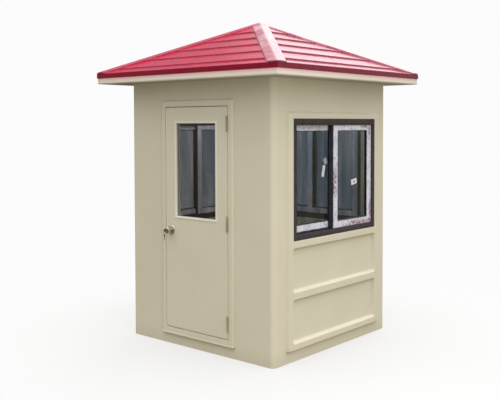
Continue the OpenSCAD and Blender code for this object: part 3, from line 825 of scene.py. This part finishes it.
# %% Labels on the panes
def tilted_label(x, z, width, height, tilt, face):
    """A small rectangle of paper turned in its own plane and a little domed by its glue."""
    u, v = np.meshgrid(np.linspace(-1, 1, 9), np.linspace(-1, 1, 9), indexing="ij")
    c, s = math.cos(math.radians(tilt)), math.sin(math.radians(tilt))
    a = u * (width * MM) / 2
    b = v * (height * MM) / 2
    bulge = 0.25 * MM * (1 - u * u) * (1 - v * v) + 0.25 * MM
    front = np.stack([x + a * c - b * s, face - bulge, z + a * s + b * c], -1)
    back = np.stack([front[..., 0], np.full_like(a, face - 0.05 * MM), front[..., 2]], -1)
    return loft(np.concatenate([front, back[:, ::-1]], 1))


outer_pane, inner_pane = [
    np.mean(seen_box(f"right_window_{layer}_sash", "right"), 0)[1] - PANE_T / 2
    for layer in ("outer", "inner")]
labels = {
    "right_pane_labels": (paper, (-0.110, 1.472, 34, 94, -13, inner_pane),
                          (0.292, 1.365, 84, 46, 10, outer_pane)),
    "right_torn_label": (torn_paper, (-0.082, 1.552, 44, 52, 28, inner_pane)),
    "right_label_patches": (ink, (0.294, 1.363, 26, 15, 6, outer_pane - 0.6 * MM),
                            (-0.110, 1.480, 5, 44, -13, inner_pane - 0.6 * MM))}
for name, (finish, *sheets) in labels.items():
    make_piece(name, joined(*[tilted_label(*sheet) for sheet in sheets]), finish,
               sharp=60, turn=SIDES["right"])

# %% Crescent locks
LOCK_Z = 1.245


def crescent_lock(x, z, face):
    """A rounded plate on the stile, a turned boss and a short lever that points up."""
    spot = (x, x, z, z)
    plate = slab(grown(spot, -11, 11, -40, 40), face, face + 4 * MM, 1.2 * MM, 9 * MM)
    boss = lathed([(0, 13), (7, 13), (9, 11), (9, 0.1)], (x, face + 3 * MM, z), (0, 1, 0), 32)
    lever = slab(grown(spot, -6, 6, 0, 52), face + 10 * MM, face + 17 * MM, 2 * MM, 4 * MM)
    return joined(plate, boss, lever)


for side in ("right", "back", "left"):
    low, high = seen_box(f"{side}_window_outer_sash", side)
    skin = crescent_lock(low[0] + STILE / 2 * MM, LOCK_Z, high[1])
    make_piece(f"{side}_crescent_lock", skin, zinc, sharp=30, turn=SIDES[side])

# %% [markdown]
# ## Fascia
# A pale band hides the edge of the soffit. It is a bar with soft edges carried round the plan.

# %% Fascia band
fascia_low, fascia_high = seen_box("fascia")
edge = fascia_high[0]
corners = np.array([(edge - 25 * MM, fascia_low[2]), (edge, fascia_low[2]), (edge, fascia_high[2]),
                    (edge - 25 * MM, fascia_high[2])])
outline = eased(corners, np.array([1, 12, 2.5, 1]) * MM, 6, HOLD)
rows = np.column_stack([(outline[:, 0] - edge) / (25 * MM) + 1, outline[:, 1],
                        np.clip(outline[:, 0] - edge + 12 * MM, 0.5 * MM, 1)])
inside = (25 * MM - edge, edge - 25 * MM, 25 * MM - edge, edge - 25 * MM)
outside = (-edge, edge, -edge, edge)
loops = rectangle_loops(inside, outside, rows)[..., [0, 2, 1]]
make_piece("fascia_band", loft(loops, closed=True), fascia_cream, stands_for=["fascia"])

# %% [markdown]
# ## Roof slopes
# Each slope is a moulding that imitates lapped boards: five courses, each with a rounded nose
# that stands 10 mm over the one below. The section is worked out in distance from the centre
# and height, and is carried from the left hip to the right hip, so it ends in a mitre.

# %% Roof section
roof_low, roof_high = seen_box("roof_front")
eave = roof_high[0]
peak = roof_high[2]
edge_bottom = roof_low[2]
edge_top = 2.302
pitch = (peak - edge_top) / eave
FIRST_NOSE = 2.347
COURSE_RISE = 0.0765
noses = FIRST_NOSE + COURSE_RISE * np.arange(5)
nose_out = (peak - noses) / pitch
LAP = 12 * MM
ROOF_T = 24 * MM


def roof_outline():
    """From the foot of the red edge up its face, over each lapped course to the peak, and back
    down the underside."""
    before = nose_out + 16 * MM
    below = np.interp(before, [0, eave], [peak, edge_top])
    below = below - LAP * (1 - 16 * MM / (noses[1] - noses[0]) * pitch)
    below[0] = noses[0] - LAP - 16 * MM * (noses[0] - LAP - edge_top) / (eave - nose_out[0])
    steps = np.stack([np.stack([before, below], -1), np.stack([nose_out, noses - LAP], -1),
                      np.stack([nose_out, noses], -1)], 1)
    top = [(eave, edge_bottom), (eave, edge_top), *steps.reshape(-1, 2), (0.3 * MM, peak - 0.2 * MM)]
    under = [(0.3 * MM, peak - ROOF_T), (eave - 20 * MM, peak - ROOF_T - (eave - 20 * MM) * pitch),
             (eave - 20 * MM, edge_bottom)]
    reach = [1.5, 6.0, *[2.0, 2.0, 4.0] * len(noses), 0.1, 0.1, 1.0, 1.0]
    return eased(top + under, np.array(reach) * MM, 4, HOLD)


outline = roof_outline()
# Painted shade at the foot of each nose: a share that is 0.62 at the foot and falls to nothing 10 mm away.
from_foot = np.hypot(outline[:, :1] - nose_out, outline[:, 1:] - (noses - LAP)).min(1)
lap_shade = np.clip(1 - from_foot / (10 * MM), 0, 1) * 0.62
wide = np.stack([-outline[:, 0], -outline[:, 0], outline[:, 1]], -1)
slope_skin = loft(np.stack([wide, wide * [-1, 1, 1]]))
for side, finish in zip(SIDES, (red, sun_red, sun_red, red)):
    make_piece(f"roof_slope_{side}", slope_skin, finish, turn=SIDES[side],
               stands_for=[f"roof_{side}"], sharp=50, marks={"lap_painted_shade": [*lap_shade, *lap_shade]})

# %% [markdown]
# ## Hip caps
# A folded strip covers each mitre. Its surface is a function of the distance across the hip and
# along it: it lies parallel to both slopes, its crest is softly folded, and its long edges are
# turned down onto the boards.

# %% Hip caps
CAP_HALF = 72 * MM
CAP_LIFT = 8.2 * MM
cap_reach = seen_box("hip_front_right")[1][0]
lanes = np.concatenate([[-1.0, -1.0, -0.985, -0.95], np.linspace(-0.88, 0.88, 21), [0.95, 0.985, 1.0, 1.0]])
drop = np.concatenate([[0.0, 0.45, 0.8, 0.97], np.ones(21), [0.97, 0.8, 0.45, 0.0]])
along = np.linspace(0, 1, 40)
p = lanes[None, :] * CAP_HALF * np.ones_like(along)[:, None]
start = np.abs(p)
stop = cap_reach * math.sqrt(2) - np.abs(p)
q = start + (stop - start) * along[:, None]
soft = np.sqrt(p * p + (7 * MM) ** 2) - 7 * MM
top_z = peak - pitch * (q + soft) / math.sqrt(2) + 0.4 * MM + (CAP_LIFT - 0.4 * MM) * drop[None, :]
skirt = np.clip((np.abs(lanes) - 0.93) / 0.03, 0, 1)[None, :] * 13 * MM
under_z = peak - pitch * (q + np.abs(p)) / math.sqrt(2) + 0.3 * MM - skirt
top_z = np.maximum(top_z, under_z + 0.2 * MM)
plan = np.stack([(q + p) / math.sqrt(2), (p - q) / math.sqrt(2)], -1)
top = np.concatenate([plan, top_z[..., None]], -1)
under = np.concatenate([plan, under_z[..., None]], -1)
cap_skin = loft(np.concatenate([top, under[:, ::-1]], 1))
cap_finishes = {"front_right": cap_red, "back_right": cap_red, "back_left": sun_red, "front_left": red}
for quarter, (name, finish) in enumerate(cap_finishes.items()):
    make_piece(f"hip_cap_{name}", cap_skin, finish, turn=quarter,
               stands_for=[f"hip_{name}"], sharp=40, marks={"lap_painted_shade": np.zeros(len(cap_skin[0]))})

# %% [markdown]
# ## Knobs
# Each knob is spun from nickel-plated brass: a waisted neck, a round body that is fullest past
# its middle and a flat end that holds the lock. The rose is a shallow dome round the neck. Each
# is a profile turned about one axis. Its corners are eased so wide that they run together,
# because a smooth curve is what gathers the sky into small bright highlights.

# %% Knobs and roses
knob_low, knob_high = seen_box("knob_outer")
knob_x, _, knob_z = (knob_low + knob_high) / 2


def turned_part(corners, reach, face, out, closed=False):
    """Eases a profile of (along, radius) in millimetres and turns it about the knob's axis,
    from a face of the leaf outwards. An open profile keeps its two ends as they are."""
    profile = eased(corners, reach, 6)
    if not closed:
        profile = profile[6:-6]
    return lathed(profile, (knob_x, face, knob_z), (0, out, 0), 64, closed)


knob_profile = [(1, 0.2), (1, 13), (15, 12), (25, 13.5), (31, 27), (45, 31.1), (58, 27.5), (62, 20),
                (62, 9.6), (61.2, 9.4), (61.2, 8.6), (62, 8.4), (62, 0.2)]
knob_eases = [0.01, 0.8, 5, 5.5, 7, 7.5, 3.0, 2, 0.2, 0.2, 0.2, 0.2, 0.01]
rose_profile = [(0, 13.6), (9, 13.6), (9, 18), (6, 34), (1.5, 40), (0, 40)]
rose_eases = [0.2, 0.8, 3, 5, 1.1, 0.2]
spindle = turned_part([(-41, 0.2), (-41, 7), (1, 7), (1, 0.2)], [0.01, 0.5, 0.5, 0.01], leaf_back, 1)
make_piece("knob_outside", turned_part(knob_profile, knob_eases, leaf_face, -1), nickel, "knob",
           stands_for=["knob_outer"])
make_piece("knob_inside", joined(turned_part(knob_profile, knob_eases, leaf_back, 1), spindle), nickel,
           "knob", stands_for=["knob_inner"])
roses = joined(turned_part(rose_profile, rose_eases, leaf_face, -1, True),
               turned_part(rose_profile, rose_eases, leaf_back, 1, True))
make_piece("knob_rose_pair", roses, nickel, "door", stands_for=["knob_roses"])
print("knob axis", knob_x, knob_z)

# %% [markdown]
# ## Keys
# One key stands in the lock, seen edge on, and a ring through its eye carries a spare. A bow is
# a round plate with its eye near the rim: every outline of it is a circle between the eye and
# the rim. The blade is a flat outline with cuts along one edge, given a thickness.

# %% Keys and ring
def pierced_disc(centre, radius, eye, eye_radius, half):
    """Each ring is a circle whose centre and radius are a blend, by a share, of the eye's and
    the rim's. The offset runs from one face to the other."""
    share = np.array([0, 0.08, 0.92, 1, 1, 0.92, 0.08, 0])[:, None]
    offset = np.array([-0.6, -1, -1, -0.6, 0.6, 1, 1, 0.6])[:, None] * half
    middle = np.asarray(eye) * (1 - share) + np.asarray(centre) * share
    size = eye_radius * (1 - share) + radius * share
    angle = full_turn(48)
    across = middle[:, :1] + size * np.cos(angle)
    up = middle[:, 1:] + size * np.sin(angle)
    return np.stack([across, np.broadcast_to(offset, across.shape), up], -1)


KEY_T = 2.4 * MM
lock_face = knob_low[1]
eye_y = lock_face - 20 * MM
eye_z = knob_z - 7 * MM
bow = pierced_disc((lock_face - 18 * MM, knob_z), 12 * MM, (eye_y, eye_z), 3 * MM, KEY_T / 2)
bow = loft(bow[..., [1, 0, 2]] + [knob_x, 0, 0], closed=True)
shank_box = grown((lock_face, lock_face, knob_z, knob_z), -9, 1, -4, 4)
shank = slab(shank_box, knob_x - KEY_T / 2, knob_x + KEY_T / 2, 0.4 * MM, MM, (1, 0, 2))
ring_z = eye_z - 13 * MM
turn = full_turn(12)
wire = np.column_stack([np.cos(turn), 11 + np.sin(turn)])
ring = lathed(wire, (knob_x, eye_y, ring_z), (0, 1, 0), 48, closed=True)
spare_eye = ring_z - 13 * MM
spare = loft(pierced_disc((knob_x, spare_eye - 4.5 * MM), 9.6 * MM, (knob_x, spare_eye), 3 * MM, KEY_T / 2)
             + [0, eye_y, 0], closed=True)
blade = np.array([(-3.6, -13), (-3.6, -45), (-1.5, -47.5), (1.2, -47.5), (2.8, -45), (1.4, -42.5),
                  (3.0, -40), (0.9, -37), (3.3, -33.5), (1.8, -30.5), (3.6, -27), (3.6, -13)]) * MM
side_view = np.column_stack([blade[:, 0] + knob_x, np.zeros(len(blade)), blade[:, 1] + spare_eye])
blade = loft(np.stack([side_view + [0, eye_y - MM, 0], side_view + [0, eye_y + MM, 0]]))
make_piece("door_key_and_spare", joined(bow, shank, ring, spare, blade), key_brass, "knob",
           stands_for=["door_keys"], sharp=30)

# %% [markdown]
# ## Hinges
# Three butt hinges carry the door. Each has five knuckles on one pin, three on the frame and
# two on the leaf, and two plates in the gap beside the door, with screws. A knuckle is a turned
# sleeve with broken edges, and it is those edges that make the thin dark lines between them.

# %% Knuckles and plates
hinge_low, hinge_high = seen_box("hinge_frame_leaves")
pin_x = (hinge_low[0] + hinge_high[0]) / 2
knuckle_r = (hinge_high[0] - hinge_low[0]) / 2
pin_y = hinge_low[1] + knuckle_r
HINGE_H = 124 * MM
PLATE_T = 1.8 * MM
MIDDLE_HINGE_Z = 1.068
hinge_middles = (hinge_low[2] + HINGE_H / 2, MIDDLE_HINGE_Z, hinge_high[2] - HINGE_H / 2)
sleeve_h = HINGE_H / 5


def sleeve(foot):
    """A knuckle: a closed profile from the bore out to the broken edges and back."""
    end = sleeve_h / MM - 0.5
    profile = [(0.5, 4.1), (0.5, 6.6), (1.4, 7.5), (end - 0.9, 7.5), (end, 6.6), (end, 4.1)]
    return lathed(profile, (pin_x, pin_y, foot), (0, 0, 1), 32, closed=True)


def side_plate(front_y, back_y, low, high, near_x, far_x, radius=0.0):
    """A thin plate whose face is turned to the side."""
    return slab((front_y, back_y, low, high), near_x, far_x, 0.3 * MM, radius, (1, 0, 2))


def hinge_half(middle, first, plate_x, face_x, outwards):
    """Every other knuckle, the web that joins it to the plate, the plate and its screws."""
    foot = middle - HINGE_H / 2
    parts = []
    for k in range(first, 5, 2):
        low = foot + k * sleeve_h
        parts.append(sleeve(low))
        parts.append(side_plate(pin_y + 5 * MM, leaf_face + 3 * MM, low + 0.5 * MM,
                                low + sleeve_h - 0.5 * MM, plate_x, plate_x + PLATE_T))
    parts.append(side_plate(leaf_face + MM, leaf_face + 33 * MM, foot, foot + HINGE_H,
                            plate_x, plate_x + PLATE_T, 3 * MM))
    for up, across in ((-45, 21), (0, 12), (45, 21)):
        dome = [(-0.8, 0.1), (-0.8, 3.9), (0, 3.9), (0.3, 2.8), (0.35, 0.1)]
        parts.append(lathed(dome, (face_x, leaf_face + across * MM, middle + up * MM),
                            (outwards, 0, 0), 20))
    return parts


def hinge_pin(middle):
    """A pin with a low domed head at each end."""
    end = HINGE_H / MM / 2
    profile = [(-end - 2.2, 0.1), (-end - 2.0, 2.6), (-end - 1, 4.9), (-end, 5.2), (-end, 4), (end, 4),
               (end, 5.2), (end + 1, 4.9), (end + 2.0, 2.6), (end + 2.2, 0.1)]
    return lathed(profile, (pin_x, pin_y, middle), (0, 0, 1), 24)


frame_side = []
door_side = []
for middle in hinge_middles:
    frame_plate = pin_x + DOOR_GAP / 2 * MM - PLATE_T
    frame_side += [hinge_pin(middle), *hinge_half(middle, 0, frame_plate, frame_plate, -1)]
    door_plate = pin_x - DOOR_GAP / 2 * MM
    door_side += hinge_half(middle, 1, door_plate, door_plate + PLATE_T, 1)
make_piece("hinge_frame_halves", joined(*frame_side), hinge_paint_and_shade,
           stands_for=["hinge_frame_leaves"], sharp=30)
make_piece("hinge_door_halves", joined(*door_side), hinge_paint_and_shade, "door",
           stands_for=["hinge_door_leaves"], sharp=30)

# %% [markdown]
# ## Latch
# The free edge of the leaf carries a latch plate with its bolt drawn back, and the frame has a
# strike plate opposite. Both are hidden until the door opens.

# %% Latch and strike plates
spot = (leaf_face, leaf_back, knob_z, knob_z)
latch_plate = side_plate(*grown(spot, 9, -9, -29, 29), leaf[0] - 0.7 * MM, leaf[0] + MM, 3 * MM)
bolt = side_plate(*grown(spot, 14, -14, -8, 8), leaf[0] - 2.6 * MM, leaf[0] + MM, MM)
make_piece("latch_plate_and_bolt", joined(latch_plate, bolt), zinc, "door", sharp=30)
strike_hole = grown(spot, 12, -12, -13, 13)
strike_rim = grown(spot, 5, -5, -34, 34)
lining_x = leaf[0] - DOOR_GAP * MM
rows = [(0, lining_x - MM, MM), (0, lining_x + 0.8 * MM, MM), (0.97, lining_x + 0.8 * MM, 3 * MM),
        (1, lining_x + 0.5 * MM, 3 * MM), (1, lining_x - MM, 3 * MM)]
strike = loft(rectangle_loops(strike_hole, strike_rim, rows)[..., [1, 0, 2]], closed=True)
make_piece("strike_plate", strike, zinc, sharp=30)
# Painted shade: a thin black plate in the strike hole stands in for the shade inside it.
hole_shade = side_plate(*strike_hole, lining_x - MM, lining_x + 0.15 * MM, MM)
make_piece("strike_hole_painted_shade", hole_shade, rubber, sharp=30)
print("hinge pin", pin_x, pin_y, "knuckle radius", knuckle_r)

# %% [markdown]
# ## Stage, light and camera
# The cabin stands on a pale floor that fades away, under an overcast sky. The sky is a formula
# of direction: brighter overhead and to the right, dark low down behind the left side, with one
# bright patch behind that the roof mirrors. Two soft lamps fill what the sky misses. The camera
# is a long lens at head height, shifted so that the upright edges stay upright.

# %% Floor
pale, add, place = new_finish("pale_studio_floor")
grain = add("TexNoise", {"Vector": place, "Scale": per_mm(800), "Detail": 2.0})
tone = add("Mix", {0: grain, 6: (0.60, 0.60, 0.60, 1), 7: (0.615, 0.615, 0.615, 1)}, BLEND)
matt = add("BsdfDiffuse", {"Color": tone})
glow = add("Emission", {"Color": (1, 1, 1, 1), "Strength": 0.975})
lit = add("MixShader", {0: 0.6, 1: matt, 2: glow})
away = add("VectorMath", {0: place}, {"operation": "LENGTH"}).outputs["Value"]
clear_air = add("BsdfTransparent", {"Color": (1, 1, 1, 1)})
fade = add("MapRange", [away, 1.6, 3.6, 0.0, 1.0], SMOOTH)
add("OutputMaterial", {"Surface": add("MixShader", {0: fade, 1: lit, 2: clear_air})})
radius = np.array([0.01, 1.0, 2.0, 3.0, 4.5, 7.0, 12.0, 30.0])[:, None]
angle = full_turn(64)
rings = np.stack(np.broadcast_arrays(radius * np.cos(angle), radius * np.sin(angle), 0.0), -1)
points, quads, _ = loft(rings)
mesh = bpy.data.meshes.new("stage_floor")
mesh.from_pydata((points - [0, 0, 0.5 * MM]).tolist(), [], quads.tolist())
mesh.materials.append(pale)
floor = shown("stage_floor", mesh)
floor.visible_diffuse = False
floor.visible_glossy = False

# %% Sky
world = bpy.data.worlds.new("studio_sky")
bpy.context.scene.world = world
world.use_nodes = True
world.node_tree.nodes.clear()
add = adder(world.node_tree)
toward = add("TexCoord").outputs["Generated"]
parts = add("SeparateXYZ", {0: toward}).outputs
height = add("Math", {0: parts["Z"], 1: 0.0}, {"operation": "MAXIMUM"})
square = add("Math", {0: height, 1: height}, TIMES)
dome = add("Math", {0: square, 1: 2.20, 2: 0.51}, {"operation": "MULTIPLY_ADD"})
above = add("MapRange", [parts["Z"], -0.06, 0.04, 0.0, 1.0], SMOOTH)
level = add("Mix", {0: above, 2: 0.31, 3: dome}, {"data_type": "FLOAT"})
sideways = add("MapRange", {0: parts["X"], 1: -1.0, 2: 1.0, 3: 0.80, 4: 1.30})
level = add("Math", {0: level, 1: sideways}, TIMES)
dark_x = add("MapRange", [parts["X"], -0.64, -0.50, 1.0, 0.0], SMOOTH)
dark_y = add("MapRange", [parts["Y"], 0.10, 0.40, 0.0, 1.0], SMOOTH)
dark_z = add("MapRange", [parts["Z"], 0.62, 0.78, 1.0, 0.0], SMOOTH)
dark = add("Math", {0: dark_x, 1: dark_y}, TIMES)
dark = add("Math", {0: dark, 1: dark_z}, TIMES)
keep = add("Math", {0: dark, 1: -0.66, 2: 1.0}, {"operation": "MULTIPLY_ADD"})
level = add("Math", {0: level, 1: keep}, TIMES)
hue = add("Mix", {0: above, 6: (1.0, 0.87, 0.62, 1), 7: (1.0, 0.99, 0.98, 1)}, BLEND)
bright = add("VectorMath", {0: toward, 1: (-0.25, 0.87, 0.42)}, {"operation": "DOT_PRODUCT"})
bright = add("MapRange", [bright.outputs["Value"], 0.86, 0.96, 0.0, 1.10], SMOOTH)
level = add("Math", {0: level, 1: bright}, {"operation": "ADD"})
soft_light = add("Background", {"Color": hue, "Strength": level})
plain = add("Background", {"Color": (0.972, 0.970, 0.975, 1), "Strength": 1.0})
eye = add("LightPath").outputs["Is Camera Ray"]
both = add("MixShader", {0: eye, 1: soft_light, 2: plain})
add("OutputWorld", {"Surface": both})

# %% A soft panel to the front and right, and daylight carried into the room
def soft_square(name, size, watts, tint, place, tilt=(0, 0, 0)):
    """A square lamp that lights surfaces and is itself never seen or mirrored."""
    lamp = bpy.data.lights.new(name, "AREA")
    lamp.shape = "SQUARE"
    lamp.size = size
    lamp.energy = watts
    lamp.color = tint
    holder = shown(name, lamp)
    holder.location = place
    holder.rotation_euler = np.radians(tilt)
    holder.visible_camera = False
    holder.visible_glossy = False


soft_square("soft_panel", 2.2, 18.0, (1.0, 0.975, 0.93), (3.4, -2.3, 1.1), (88, 0, 57))
soft_square("room_daylight", 1.2, 13.0, (0.96, 0.98, 1.0), (0.0, 0.0, 2.19))

# %% Camera
YAW, DOWN, ROLL = math.radians(-40.758), math.radians(2.265), math.radians(-0.156)
lens = bpy.data.cameras.new("studio_camera")
lens.lens = 56.165
lens.sensor_width = 36.0
lens.shift_y = -0.09
camera = shown("studio_camera", lens)
camera.location = (4.4815, -5.3369, 1.8575)
camera.rotation_euler = (math.pi / 2 - DOWN, -ROLL, -YAW)
bpy.context.scene.camera = camera
bpy.context.scene.view_settings.view_transform = "Standard"
